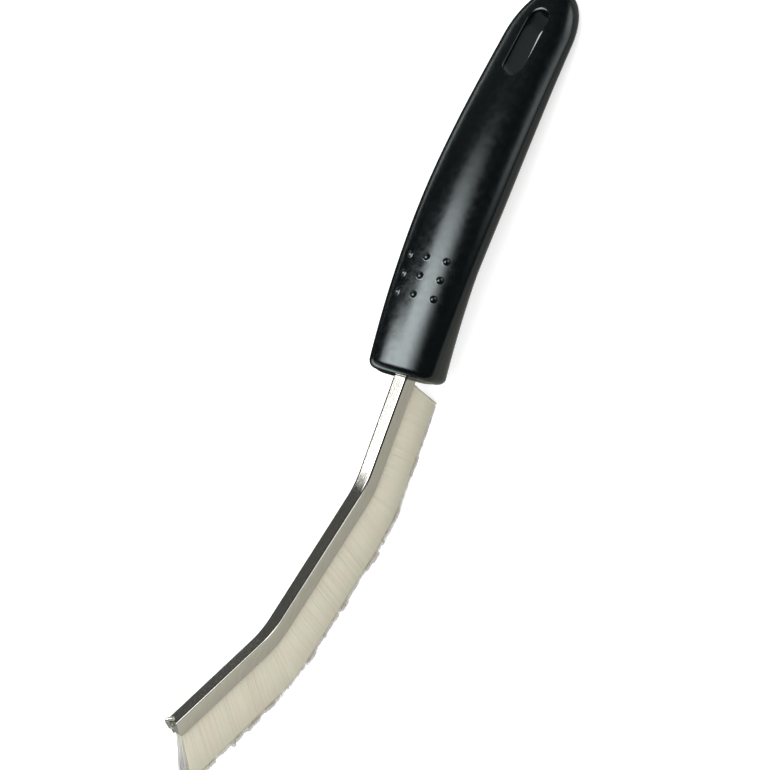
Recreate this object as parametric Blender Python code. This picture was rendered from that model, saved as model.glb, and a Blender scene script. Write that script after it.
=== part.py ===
"""Fish cleaning brush: a strip brush in a bent steel channel, set in a moulded handle.

Axes of the model: X runs from the bristle tip to the hang end of the handle,
Z points up out of the handle's back and Y runs across. The brush stands at rest
on the heel of its bristles and the hang end of its handle, at Z = 0.

Every piece is first drawn in the strip's own frame, whose origin lies on the
channel's back where the channel leaves the handle: X towards the handle,
Z out of the back of the straight first run. One empty then lays the brush down.
"""
import math
import random

import bmesh
import bpy
import numpy as np
from mathutils import Matrix, Vector

# Channel: folded steel strip, bent twice towards its back
CHANNEL_WIDTH = 0.0048
CHANNEL_HEIGHT = 0.0058
SHEET = 0.0005
CORNER_RADIUS = 0.0007
RUN_LENGTHS = (0.0379, 0.0578, 0.0457)
BEND_ANGLES = (math.radians(20.5), math.radians(20.1))
BEND_RADIUS = 0.028
TANG_LENGTH = 0.028
CORNER_STEPS = 3
BEND_STEP = 0.0018

# Fill: filaments folded round a core wire and held in the channel
CLEARANCE = 0.0003
FOLD_THICKNESS = 0.0004
WIRE_DIAMETER = 0.0013
BORE_OVERRUN = 0.002
FILL_HEEL = -0.0003
ROOT_PROUD = 0.0004
TRIM_HEEL = 0.0166
TRIM_TIP = 0.0188
TRIM_CHANGE = (0.030, 0.048)
TRIM_ROUGHNESS = 0.00035
LEVEL_HEEL = 0.009
TRIM_NOTCH = 0.0007
NOTCH_PITCH = 0.0085
SECOND_NOTCH_PITCH = 0.0037
SECOND_NOTCH_SHARE = 0.6
NOTCH_THRESHOLD = 0.7
STRAND_ROWS = 3
STRAND_PITCH = 0.00122
STRAND_SHARE = 0.68
HEEL_LEAN = math.radians(9.0)
TIP_SPLAY = math.radians(9.0)
SIDE_SPREAD = math.radians(3.0)
LEAN_REACH = 0.012
TRIM_SEED = 7

# End of the core wire: it rises behind the channel's free end and lies over its back
HOOK_STANDOFF = 0.0011
HOOK_SIDEWAYS = 0.0013
HOOK_TOP = 0.00098
HOOK_ROUNDING = 0.00085
HOOK_LENGTH = 0.0016
HOOK_TURN = math.radians(60)
HOOK_STEPS = 6

# Largest turn tried when the brush is laid down
REST_TILT_LIMIT = math.radians(8)

# Handle: one solid moulding on a bowed centre line
HANDLE_LENGTH = 0.145
FRONT_DROP = 0.00104
FRONT_SLOPE = 0.1295
HANG_END_DROP = 0.0121
HANG_END_SLOPE = -0.1963
FRONT_DOME = 0.0007
FRONT_FACE_INSET = 0.0058
FRONT_ROUNDING = 0.0024
HANG_END_ROUNDING = 0.020
# Share of the length, half width across Y, half thickness
HANDLE_SECTIONS = (
    (0.00, 0.0135, 0.00745),
    (0.20, 0.0149, 0.00750),
    (0.45, 0.0157, 0.00770),
    (0.62, 0.0151, 0.00710),
    (0.78, 0.0141, 0.00610),
    (0.90, 0.0134, 0.00540),
    (1.00, 0.0131, 0.00500),
)
# Underside at the front end, deeper and squarer than the rest
GUARD_LENGTH = 0.040
GUARD_DEPTH = 0.0042
GUARD_INSET_SHARE = 0.4
GUARD_SQUARENESS = 1.1
GUARD_RISE = 1.15
HANG_END_POWER = 2.0
HANG_END_THICKNESS_POWER = 4
LAST_RING_ANGLE = math.radians(84)
RING_POINTS = 36
BODY_RINGS = 22
END_RINGS = 9
FRONT_RINGS = 4

# Socket in the handle's front end
MOUTH_DEPTH = 0.004
MOUTH_RELIEF = 0.0016

# Hang slot along the centre line, with the wall left between it and the hang end
SLOT_LENGTH = 0.0257
SLOT_END_WALL = 0.0116
SLOT_REAR = HANDLE_LENGTH - SLOT_END_WALL
SLOT_FRONT = SLOT_REAR - SLOT_LENGTH
SLOT_HALF_WIDTH = 0.0040
SLOT_FLARE = 0.0012
SLOT_SIDE_FLARE = 0.0005
SLOT_ARC_POINTS = 9
FLARE_STEPS = 3
FLARE_START_ANGLE = math.radians(25)
CUTTER_MARGIN = 0.002

# Grip nubs on the handle's back
NUB_ROWS = 3
NUB_COLUMNS = 3
NUB_FIRST_ROW = 0.0264
NUB_ROW_PITCH = 0.0064
NUB_COLUMN_PITCH = 0.0074
NUB_RADIUS = 0.00125
NUB_HEIGHT = 0.00055
NUB_SEGMENTS = 10
NUB_RINGS = 16


def start_empty():
    """Remove what the scene holds and make the two collections."""
    for old in list(bpy.data.objects):
        bpy.data.objects.remove(old, do_unlink=True)
    parts = bpy.data.collections.new("fish_cleaning_brush")
    cutters = bpy.data.collections.new("cutters")
    bpy.context.scene.collection.children.link(parts)
    bpy.context.scene.collection.children.link(cutters)
    return parts, cutters


def material(name, colour, roughness, metallic):
    """One plain Principled material."""
    made = bpy.data.materials.new(name)
    made.use_nodes = True
    shader = made.node_tree.nodes["Principled BSDF"]
    shader.inputs["Base Color"].default_value = (*colour, 1.0)
    shader.inputs["Roughness"].default_value = roughness
    shader.inputs["Metallic"].default_value = metallic
    return made


def add_object(name, data, collection):
    """Wrap data in an object and put it in a collection."""
    made = bpy.data.objects.new(name, data)
    collection.objects.link(made)
    return made


def mark_as_cutter(cutter):
    """Show a cutter as wires only."""
    cutter.hide_render = True
    cutter.display_type = "WIRE"
    return cutter


def mesh_from(bm, name):
    """Turn a bmesh into mesh data with its faces pointing out."""
    bmesh.ops.recalc_face_normals(bm, faces=bm.faces)
    mesh = bpy.data.meshes.new(name)
    bm.to_mesh(mesh)
    bm.free()
    return mesh


def shade(target, angle_degrees):
    """Smooth shading with sharp edges above an angle."""
    target.data.shade_smooth()
    target.data.set_sharp_from_angle(angle=math.radians(angle_degrees))


def boolean(target, cutter, operation, name):
    """Add one exact Boolean modifier."""
    modifier = target.modifiers.new(name, "BOOLEAN")
    modifier.operation = operation
    modifier.solver = "EXACT"
    modifier.object = cutter


# The strip's path, measured along the channel's back from the handle's front end

def bend_tangent(index):
    """Length that a rounded bend takes from each of its two runs."""
    return BEND_RADIUS * math.tan(BEND_ANGLES[index] / 2)


def path_pieces():
    """Straight and bent pieces of the path as (kind, length, turn)."""
    first, second = bend_tangent(0), bend_tangent(1)
    return (
        ("straight", RUN_LENGTHS[0] - first, 0.0),
        ("bend", BEND_RADIUS * BEND_ANGLES[0], BEND_ANGLES[0]),
        ("straight", RUN_LENGTHS[1] - first - second, 0.0),
        ("bend", BEND_RADIUS * BEND_ANGLES[1], BEND_ANGLES[1]),
        ("straight", RUN_LENGTHS[2] - second, 0.0),
    )


def path_length():
    """Length of the strip outside the handle."""
    return sum(length for _, length, _ in path_pieces())


def path_frame(distance):
    """Point on the channel's back, direction of travel and direction of the bristles."""
    x, z, heading = 0.0, 0.0, 0.0
    left = distance
    for kind, length, turn in path_pieces():
        run = min(left, length)
        if left < 0 or kind == "straight":
            x -= run * math.cos(heading)
            z += run * math.sin(heading)
        else:
            swept = turn * run / length
            x -= BEND_RADIUS * (math.sin(heading + swept) - math.sin(heading))
            z += BEND_RADIUS * (math.cos(heading) - math.cos(heading + swept))
            heading += swept
        left -= run
        if left <= 0:
            break
    onward = Vector((-math.cos(heading), 0, math.sin(heading)))
    downward = Vector((-math.sin(heading), 0, -math.cos(heading)))
    return Vector((x, 0, z)), onward, downward


def path_point(distance, depth, sideways=0.0):
    """Point at a distance along the path and a depth below the channel's back."""
    origin, _, downward = path_frame(distance)
    return origin + downward * depth + Vector((0, sideways, 0))


def bend_stations(start, end, step):
    """Distances along the path, close together in the bends and none on the runs."""
    stations = [start]
    reached = 0.0
    for kind, length, _ in path_pieces():
        if kind == "bend":
            count = max(2, round(length / step))
            stations += [reached + length * i / count for i in range(count + 1)]
        reached += length
    inside = [s for s in stations if start <= s < end - step / 4]
    return inside + [end]


# Curves swept along the path

def poly_curve(name, points, cyclic, collection):
    """Curve object with one straight-sided spline."""
    data = bpy.data.curves.new(name, "CURVE")
    data.dimensions = "3D"
    data.twist_mode = "Z_UP"
    spline = data.splines.new("POLY")
    spline.points.add(len(points) - 1)
    for target, point in zip(spline.points, points):
        target.co = (*point, 1.0)
    spline.use_cyclic_u = cyclic
    return add_object(name, data, collection)


def profile_curve(name, outline, collection):
    """Flat closed curve used as the section of a sweep."""
    flat = [(across, up, 0.0) for across, up in outline]
    profile = poly_curve(name, flat, True, collection)
    profile.data.dimensions = "2D"
    profile.data.fill_mode = "NONE"
    return mark_as_cutter(profile)


def curve_to_mesh(curve, weld=0.00001):
    """Replace a curve object by a closed mesh object of the same name and place."""
    name = curve.name
    collection = curve.users_collection[0]
    bpy.context.view_layer.update()
    evaluated = curve.evaluated_get(bpy.context.evaluated_depsgraph_get())
    mesh = bpy.data.meshes.new_from_object(evaluated)
    placed = curve.matrix_world.copy()
    bpy.data.objects.remove(curve, do_unlink=True)
    bm = bmesh.new()
    bm.from_mesh(mesh)
    bmesh.ops.remove_doubles(bm, verts=bm.verts, dist=weld)
    bmesh.ops.recalc_face_normals(bm, faces=bm.faces)
    bm.to_mesh(mesh)
    bm.free()
    mesh.materials.clear()
    made = add_object(name, mesh, collection)
    made.matrix_world = placed
    return made


def sweep(name, outline, distances, collection, cutters):
    """Sweep a section, given as (across, height over the back), along the path."""
    profile = profile_curve(name + "_section", outline, cutters)
    points = [path_point(s, 0.0) for s in distances]
    path = poly_curve(name, points, False, collection)
    path.data.bevel_mode = "OBJECT"
    path.data.bevel_object = profile
    path.data.use_fill_caps = True
    made = curve_to_mesh(path)
    bpy.data.objects.remove(profile, do_unlink=True)
    return made


def wire(name, points, diameter, collection):
    """Round wire with closed ends through a list of points."""
    curve = poly_curve(name, points, False, collection)
    curve.data.bevel_depth = diameter / 2
    curve.data.bevel_resolution = 2
    curve.data.use_fill_caps = True
    return curve_to_mesh(curve)


# Channel

def channel_outline():
    """U section with rounded back corners, open towards the bristles."""
    half = CHANNEL_WIDTH / 2
    outer = []
    for side in (-1, 1):
        corner = []
        for step in range(CORNER_STEPS + 1):
            angle = math.radians(90) * step / CORNER_STEPS
            across = half - CORNER_RADIUS * (1 - math.cos(angle))
            height = -CORNER_RADIUS * (1 - math.sin(angle))
            corner.append((side * across, height))
        outer += corner if side < 0 else reversed(corner)
    inside = half - SHEET
    left_foot = [(-inside, -CHANNEL_HEIGHT), (-half, -CHANNEL_HEIGHT)]
    right_foot = [(half, -CHANNEL_HEIGHT), (inside, -CHANNEL_HEIGHT)]
    return left_foot + outer + right_foot + [(inside, -SHEET), (-inside, -SHEET)]


def make_channel(parts, cutters):
    """Steel channel with its tang in the handle."""
    distances = bend_stations(-TANG_LENGTH, path_length(), BEND_STEP)
    channel = sweep("channel", channel_outline(), distances, parts, cutters)
    shade(channel, 35)
    channel.data.materials.append(material("steel", (0.62, 0.61, 0.58), 0.28, 1.0))
    return channel


# Core wire

def wire_depth():
    """Depth of the core wire's axis, with the fold of the filaments above it."""
    return SHEET + CLEARANCE + FOLD_THICKNESS + CLEARANCE + WIRE_DIAMETER / 2


def wire_route():
    """Points of the core wire from the tang to its hooked end."""
    end = path_length()
    points = [path_point(s, wire_depth()) for s in bend_stations(-TANG_LENGTH, end, BEND_STEP)]
    centre, onward, downward = path_frame(end)
    across = Vector((0, 1, 0))
    rise = wire_depth() + HOOK_TOP
    for step in range(1, HOOK_STEPS + 1):
        angle = math.radians(90) * step / HOOK_STEPS
        out = HOOK_STANDOFF * math.sin(angle)
        up = HOOK_STANDOFF * (1 - math.cos(angle))
        side = HOOK_SIDEWAYS * up / rise
        points.append(centre + downward * (wire_depth() - up) + onward * out + across * side)
    start = centre - downward * (HOOK_TOP - HOOK_ROUNDING) + onward * HOOK_STANDOFF
    start += across * HOOK_SIDEWAYS
    over = -onward * math.cos(HOOK_TURN) - across * math.sin(HOOK_TURN)
    for step in range(HOOK_STEPS + 1):
        angle = math.radians(90) * step / HOOK_STEPS
        curve = over * (1 - math.cos(angle)) - downward * math.sin(angle)
        points.append(start + curve * HOOK_ROUNDING)
    points.append(points[-1] + over * HOOK_LENGTH)
    return points


def make_core_wire(parts):
    """Wire that holds the folded filaments down."""
    made = wire("core_wire", wire_route(), WIRE_DIAMETER, parts)
    shade(made, 40)
    made.data.materials.append(material("wire_steel", (0.66, 0.66, 0.64), 0.25, 1.0))
    return made


# Bristles

def fill_width():
    """Width of the folded filaments between the channel's legs."""
    return CHANNEL_WIDTH - 2 * (SHEET + CLEARANCE)


def fill_ranges():
    """Stretches of the path that the three bristle bodies take."""
    bends = []
    reached = 0.0
    for kind, length, _ in path_pieces():
        if kind == "bend":
            bends.append(reached + length / 2)
        reached += length
    half_gap = CLEARANCE / 2
    return (
        ("bristles_heel", FILL_HEEL, bends[0] - half_gap),
        ("bristles_middle", bends[0] + half_gap, bends[1] - half_gap),
        ("bristles_tip", bends[1] + half_gap, path_length()),
    )


def strand_lean(distance):
    """Lean of a strand towards the free end, at both ends of the fill."""
    from_heel = max(0.0, 1 - (distance - FILL_HEEL) / LEAN_REACH)
    from_tip = max(0.0, 1 - (path_length() - distance) / LEAN_REACH)
    return HEEL_LEAN * from_heel ** 2 + TIP_SPLAY * from_tip ** 2


def trim_length(distance):
    """Full length of the filaments beyond the channel's mouth."""
    start, end = TRIM_CHANGE
    share = min(1.0, max(0.0, (distance - start) / (end - start)))
    return TRIM_HEEL + (TRIM_TIP - TRIM_HEEL) * share


def strand_length(distance, dice):
    """Length of one strand, ragged with shallow notches."""
    wave = math.sin(2 * math.pi * distance / NOTCH_PITCH)
    wave += SECOND_NOTCH_SHARE * math.cos(2 * math.pi * distance / SECOND_NOTCH_PITCH)
    notch = TRIM_NOTCH * max(0.0, wave - NOTCH_THRESHOLD)
    ragged = min(1.0, max(0.0, distance / LEVEL_HEEL - 1))
    return trim_length(distance) - ragged * (notch + TRIM_ROUGHNESS * dice.random())


def root_outline():
    """Section of the folded root, with its top side split into one cell a row."""
    half = fill_width() / 2
    floor = -(SHEET + CLEARANCE)
    mouth = -(CHANNEL_HEIGHT + ROOT_PROUD)
    cells = [(-half + fill_width() * i / STRAND_ROWS, mouth) for i in range(STRAND_ROWS + 1)]
    return cells + [(half, floor), (-half, floor)]


def grow_strands(body, start, end, dice):
    """Draw one tapered strand out of every cell of the root's top side."""
    bm = bmesh.new()
    bm.from_mesh(body.data)
    mouth = CHANNEL_HEIGHT + ROOT_PROUD
    cells = {}
    for face in bm.faces:
        middle = face.calc_center_median()
        distance = nearest_distance(middle, start, end)
        origin, _, downward = path_frame(distance)
        depth = (middle - origin).dot(downward)
        if depth > mouth - 0.0002 and abs(face.normal.dot(downward)) > 0.9:
            cells[face] = (distance, middle.y)
    cell_width = fill_width() / STRAND_ROWS
    inset = cell_width * (1 - STRAND_SHARE) / 2
    bmesh.ops.inset_individual(bm, faces=list(cells), thickness=inset, use_even_offset=True)
    grown = bmesh.ops.extrude_discrete_faces(bm, faces=list(cells))["faces"]
    for face, (distance, sideways) in zip(grown, list(cells.values())):
        _, onward, downward = path_frame(distance)
        lean = strand_lean(distance)
        spread = SIDE_SPREAD * sideways / cell_width
        along = downward * math.cos(lean) + onward * math.sin(lean)
        along += Vector((0, math.tan(spread), 0))
        length = strand_length(distance, dice) - ROOT_PROUD
        bmesh.ops.translate(bm, verts=face.verts, vec=along * length)
    bmesh.ops.recalc_face_normals(bm, faces=bm.faces)
    bm.to_mesh(body.data)
    bm.free()


def nearest_distance(point, start, end):
    """Distance along the path whose cross plane holds a point near the strip."""
    low, high = start, end
    for _ in range(30):
        middle = (low + high) / 2
        origin, onward, _ = path_frame(middle)
        if (point - origin).dot(onward) > 0:
            low = middle
        else:
            high = middle
    return (low + high) / 2


def make_bristles(parts, cutters):
    """Three bodies of filaments, each folded round the core wire."""
    nylon = material("nylon", (0.72, 0.68, 0.56), 0.5, 0.0)
    dice = random.Random(TRIM_SEED)
    end = path_length()
    stations = bend_stations(-TANG_LENGTH, end, BEND_STEP)
    bore_points = [path_point(s, wire_depth()) for s in stations]
    bore_points.append(bore_points[-1] + path_frame(end)[1] * BORE_OVERRUN)
    bore = wire("core_wire_bore", bore_points, WIRE_DIAMETER + 2 * CLEARANCE, cutters)
    mark_as_cutter(bore)
    bodies = []
    for name, start, end in fill_ranges():
        count = round((end - start) / STRAND_PITCH)
        distances = [start + (end - start) * i / count for i in range(count + 1)]
        body = sweep(name, root_outline(), distances, parts, cutters)
        grow_strands(body, start, end, dice)
        boolean(body, bore, "DIFFERENCE", "bore")
        body.data.materials.append(nylon)
        bodies.append(body)
    return bodies


# Handle

def handle_size(along):
    """Half width and half thickness of the moulding at a distance from its front end."""
    shares = np.array([row[0] for row in HANDLE_SECTIONS]) * HANDLE_LENGTH
    sizes = []
    for column in (1, 2):
        values = np.array([row[column] for row in HANDLE_SECTIONS])
        slopes = np.gradient(values, shares)
        index = int(np.clip(np.searchsorted(shares, along) - 1, 0, len(shares) - 2))
        span = shares[index + 1] - shares[index]
        t = (along - shares[index]) / span
        ends = (values[index], slopes[index] * span, values[index + 1], slopes[index + 1] * span)
        sizes.append(hermite(t, *ends))
    past = max(0.0, (along - (HANDLE_LENGTH - HANG_END_ROUNDING)) / HANG_END_ROUNDING)
    past = min(past, 1.0)
    width = sizes[0] * (1 - past ** HANG_END_POWER) ** (1 / HANG_END_POWER)
    thickness_power = HANG_END_THICKNESS_POWER
    thickness = sizes[1] * (1 - past ** thickness_power) ** (1 / thickness_power)
    return width, thickness


def guard_share(along):
    """How far the underside has grown into its deep front end, from 0 to 1."""
    return max(0.0, 1 - along / GUARD_LENGTH) ** GUARD_RISE


def hermite(t, start, start_slope, end, end_slope):
    """Cubic through two values with two slopes."""
    blend = t * t * (3 - 2 * t)
    return (
        start + (end - start) * blend
        + start_slope * t * (1 - t) ** 2
        - end_slope * t * t * (1 - t)
    )


def handle_frame(along):
    """Point on the moulding's centre line and the direction out of its back."""
    t = along / HANDLE_LENGTH
    ends = (
        -FRONT_DROP,
        FRONT_SLOPE * HANDLE_LENGTH,
        -HANG_END_DROP,
        HANG_END_SLOPE * HANDLE_LENGTH,
    )
    step = 0.001
    height = hermite(t, *ends)
    rise = hermite(t + step, *ends) - hermite(t - step, *ends)
    slope = rise / (2 * step * HANDLE_LENGTH)
    out = Vector((-slope, 0, 1)).normalized()
    return Vector((along, 0, height)), out


def handle_point(along, sideways, height):
    """Point beside and above the moulding's centre line."""
    centre, out = handle_frame(along)
    return centre + out * height + Vector((0, sideways, 0))


def skin_height(along, sideways):
    """Height of the moulding's skin over its centre line."""
    width, thickness = handle_size(along)
    return thickness * math.sqrt(max(0.0, 1 - (sideways / width) ** 2))


def loft(name, rings, collection):
    """Join rings of equal count into one closed skin with flat ends."""
    bm = bmesh.new()
    rows = [[bm.verts.new(point) for point in ring] for ring in rings]
    for first, second in zip(rows, rows[1:]):
        for i in range(len(first)):
            j = (i + 1) % len(first)
            bm.faces.new((first[i], first[j], second[j], second[i]))
    bm.faces.new(rows[0])
    bm.faces.new(rows[-1])
    return add_object(name, mesh_from(bm, name), collection)


def handle_ring(along, inset):
    """Oval ring across the moulding."""
    width, thickness = handle_size(along)
    guard = guard_share(along)
    ring = []
    for i in range(RING_POINTS):
        angle = 2 * math.pi * (i + 0.5) / RING_POINTS
        across, up = math.sin(angle), math.cos(angle)
        depth = thickness - inset
        if up < 0:
            power = 2 / (2 + GUARD_SQUARENESS * guard)
            across = math.copysign(abs(across) ** power, across)
            up = -abs(up) ** power
            depth += (GUARD_DEPTH - GUARD_INSET_SHARE * inset) * guard
        ring.append(handle_point(along, (width - inset) * across, depth * up))
    return ring


def handle_rings():
    """Rings of the moulding from its front end to its hang end."""
    rings = [handle_ring(0.0, FRONT_FACE_INSET)]
    for step in range(FRONT_RINGS):
        angle = math.radians(90) * step / (FRONT_RINGS - 1)
        along = FRONT_DOME + FRONT_ROUNDING * (1 - math.cos(angle))
        rings.append(handle_ring(along, FRONT_ROUNDING * (1 - math.sin(angle))))
    body_start = FRONT_DOME + FRONT_ROUNDING
    body_end = HANDLE_LENGTH - HANG_END_ROUNDING
    for step in range(1, BODY_RINGS + 1):
        along = body_start + (body_end - body_start) * step / BODY_RINGS
        rings.append(handle_ring(along, 0.0))
    for step in range(1, END_RINGS + 1):
        angle = LAST_RING_ANGLE * step / END_RINGS
        along = body_end + HANG_END_ROUNDING * math.sin(angle)
        rings.append(handle_ring(along, 0.0))
    return rings


def box_cutter(name, low, high, cutters):
    """Box between two corners in the strip's frame."""
    bm = bmesh.new()
    bmesh.ops.create_cube(bm, size=1.0)
    low, high = Vector(low), Vector(high)
    size = Matrix.Diagonal((*(high - low), 1.0))
    bmesh.ops.transform(bm, matrix=Matrix.Translation((low + high) / 2) @ size, verts=bm.verts)
    return mark_as_cutter(add_object(name, mesh_from(bm, name), cutters))


def cut_socket(handle, cutters):
    """Pocket for the tang, and its wider mouth on the bristle side."""
    half = CHANNEL_WIDTH / 2 + CLEARANCE
    floor = -(CHANNEL_HEIGHT + CLEARANCE)
    deep = TANG_LENGTH + CLEARANCE
    front = -FRONT_ROUNDING - CUTTER_MARGIN
    tang = box_cutter("socket_cutter", (front, -half, floor), (deep, half, CLEARANCE), cutters)
    mouth_low = (front, -half - CLEARANCE, floor - MOUTH_RELIEF)
    mouth_high = (MOUTH_DEPTH, half + CLEARANCE, CLEARANCE)
    mouth = box_cutter("socket_mouth_cutter", mouth_low, mouth_high, cutters)
    boolean(handle, tang, "DIFFERENCE", "socket")
    boolean(handle, mouth, "DIFFERENCE", "socket_mouth")


def slot_outline(offset):
    """Round-ended outline of the slot as (along, sideways), grown by an offset."""
    radius = SLOT_HALF_WIDTH + offset
    half_width = SLOT_HALF_WIDTH + offset * SLOT_SIDE_FLARE / SLOT_FLARE
    outline = []
    for centre, start in ((SLOT_REAR - SLOT_HALF_WIDTH, -90), (SLOT_FRONT + SLOT_HALF_WIDTH, 90)):
        for i in range(SLOT_ARC_POINTS):
            angle = math.radians(start + 180 * i / (SLOT_ARC_POINTS - 1))
            along = centre + radius * math.cos(angle)
            outline.append((along, half_width * math.sin(angle)))
    return outline


def cut_slot(handle, cutters):
    """Hang slot through the moulding, flared at both rims."""
    levels = []
    sweep_angle = math.radians(90) - FLARE_START_ANGLE
    for step in range(FLARE_STEPS + 1):
        angle = FLARE_START_ANGLE + sweep_angle * step / FLARE_STEPS
        levels.append((SLOT_FLARE * (1 - math.sin(angle)), SLOT_FLARE * (math.cos(angle) - 1)))
    levels.insert(0, (levels[0][0] + CUTTER_MARGIN, CUTTER_MARGIN))
    rings = []
    for side, order in ((1, levels), (-1, levels[::-1])):
        for offset, over in order:
            ring = []
            for along, sideways in slot_outline(offset):
                height = side * (skin_height(along, sideways) + over)
                ring.append(handle_point(along, sideways, height))
            rings.append(ring)
    cutter = mark_as_cutter(loft("hang_slot_cutter", rings, cutters))
    boolean(handle, cutter, "DIFFERENCE", "hang_slot")


def add_nubs(handle, cutters):
    """Low domes on the back, in rows across it."""
    ball_radius = (NUB_RADIUS ** 2 + NUB_HEIGHT ** 2) / (2 * NUB_HEIGHT)
    bm = bmesh.new()
    for row in range(NUB_ROWS):
        along = NUB_FIRST_ROW + NUB_ROW_PITCH * row
        for column in range(NUB_COLUMNS):
            sideways = NUB_COLUMN_PITCH * (column - (NUB_COLUMNS - 1) / 2)
            width, thickness = handle_size(along)
            skin = skin_height(along, sideways)
            base = handle_point(along, sideways, skin)
            lean = math.atan2(sideways * thickness ** 2, skin * width ** 2)
            out = handle_frame(along)[1] * math.cos(lean) + Vector((0, math.sin(lean), 0))
            turn = Vector((0, 0, 1)).rotation_difference(out).to_matrix().to_4x4()
            centre = base + out * (NUB_HEIGHT - ball_radius)
            bmesh.ops.create_uvsphere(
                bm, u_segments=NUB_SEGMENTS, v_segments=NUB_RINGS, radius=ball_radius,
                matrix=Matrix.Translation(centre) @ turn,
            )
    nubs = mark_as_cutter(add_object("grip_nubs", mesh_from(bm, "grip_nubs"), cutters))
    boolean(handle, nubs, "UNION", "grip_nubs")


def make_handle(parts, cutters):
    """Moulded handle with socket, hang slot and grip nubs."""
    handle = loft("handle", handle_rings(), parts)
    add_nubs(handle, cutters)
    cut_slot(handle, cutters)
    cut_socket(handle, cutters)
    shade(handle, 30)
    handle.data.materials.append(material("black_plastic", (0.012, 0.014, 0.016), 0.22, 0.0))
    return handle


# Assembly

def evaluated_points(target):
    """Corners of an object's evaluated mesh in world space."""
    bpy.context.view_layer.update()
    shown = target.evaluated_get(bpy.context.evaluated_depsgraph_get())
    return [shown.matrix_world @ corner.co for corner in shown.data.vertices]


def rest_tilt(corners):
    """Turn about Y that brings the bristles and the hang end to one level."""
    front = [point for point in corners if point.x < 0]
    rear = [point for point in corners if point.x > HANDLE_LENGTH / 2]
    low, high = 0.0, REST_TILT_LIMIT
    for _ in range(40):
        tilt = (low + high) / 2
        levels = []
        for side in (front, rear):
            levels.append(min(p.z * math.cos(tilt) - p.x * math.sin(tilt) for p in side))
        if levels[1] > levels[0]:
            low = tilt
        else:
            high = tilt
    return (low + high) / 2


def lay_down(pieces, cutters):
    """Turn and lift the brush onto the heel of its bristles and its hang end."""
    tilt = rest_tilt([point for piece in pieces for point in evaluated_points(piece)])
    rest = bpy.data.objects.new("rest_frame", None)
    cutters.objects.link(rest)
    rest.hide_render = True
    for piece in pieces:
        piece.parent = rest
    for tool in list(cutters.objects):
        if tool != rest:
            tool.parent = rest
    rest.rotation_euler.y = tilt
    corners = [point for piece in pieces for point in evaluated_points(piece)]
    middle = (max(p.x for p in corners) + min(p.x for p in corners)) / 2
    rest.location = (-middle, 0, -min(p.z for p in corners))


def main():
    """Build the brush."""
    parts, cutters = start_empty()
    pieces = [make_handle(parts, cutters), make_channel(parts, cutters), make_core_wire(parts)]
    pieces += make_bristles(parts, cutters)
    lay_down(pieces, cutters)
    bpy.context.view_layer.update()


main()
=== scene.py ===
"""Looks of the fish cleaning brush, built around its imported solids.

Shapes are first worked out in the strip's own frame (origin on the channel's back
at the handle's front end, X towards the handle, Z out of the back) and then laid
down with the same turn and shift as the solids.
"""
import math
import random

import bmesh
import bpy
import numpy as np
from mathutils import Matrix, Vector
from mathutils.bvhtree import BVHTree


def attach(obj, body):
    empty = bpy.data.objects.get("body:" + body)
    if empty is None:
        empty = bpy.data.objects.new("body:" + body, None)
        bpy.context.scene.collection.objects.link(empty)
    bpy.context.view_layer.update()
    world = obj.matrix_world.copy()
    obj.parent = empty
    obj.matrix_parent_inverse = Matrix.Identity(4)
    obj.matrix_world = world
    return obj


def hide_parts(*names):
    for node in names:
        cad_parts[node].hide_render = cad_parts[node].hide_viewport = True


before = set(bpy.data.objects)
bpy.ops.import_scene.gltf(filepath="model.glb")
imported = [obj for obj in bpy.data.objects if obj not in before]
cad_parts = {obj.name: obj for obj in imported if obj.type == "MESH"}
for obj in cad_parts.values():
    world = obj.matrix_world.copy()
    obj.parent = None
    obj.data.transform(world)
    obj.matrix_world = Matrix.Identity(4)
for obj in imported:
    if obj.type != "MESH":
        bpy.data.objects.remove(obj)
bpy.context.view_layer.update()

# Place of the strip's frame in the model
REST_TILT = math.radians(2.640786)
REST_SHIFT = (-0.000933, 0.0, 0.022143)
REST = Matrix.Translation(REST_SHIFT) @ Matrix.Rotation(REST_TILT, 4, "Y")

# Camera in the strip's frame
CAMERA_PLACE = (-0.07972, -0.38174, 0.52770)
CAMERA_RIGHT = (0.34012, -0.78146, -0.52310)
CAMERA_DOWN = (-0.93330, -0.21237, -0.28958)
CAMERA_AHEAD = (0.11521, 0.58670, -0.80157)
FOCAL_PIXELS = 2000.0
FRAME_PIXELS = 770.0
SENSOR_MM = 36.0

# Path of the strip, from the handle's front face to the tip
RUN_LENGTHS = (0.0379, 0.0578, 0.0457)
BEND_ANGLES = (math.radians(20.5), math.radians(20.1))
BEND_RADIUS = 0.028
TANG_LENGTH = 0.028
ACROSS = np.array((0.0, 1.0, 0.0))

# Channel: its width at the handle, and how much narrower each half is at the tip
CHANNEL_WIDTH = 0.0055
CHANNEL_NARROWING = 0.0003
CHANNEL_HEIGHT = 0.0058
SHEET = 0.0005
CORNER_RADIUS = 0.0009
CORNER_STEPS = 6
FLAT_MARGIN = 0.00005
INNER_CORNER = 0.0002
FOOT_STEPS = 4
CHANNEL_STATIONS = 330

# End of the channel, pinched shut and marked by two crimps
TIP_ROUNDING = 0.0010
TIP_STEPS = 8
LEFT_PINCH = 0.0017
RIGHT_PINCH = 0.00035
PINCH_REACH = 0.0034
PINCH_CURVE = 1.5
END_PLATE = 0.0003
CRIMP_PLACES = (0.0022, 0.0060)
CRIMP_LENGTH = 0.0007
CRIMP_DEPTH = 0.0036
CRIMP_HEIGHT = 0.0012
CRIMP_PRESS = 0.00022

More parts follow.
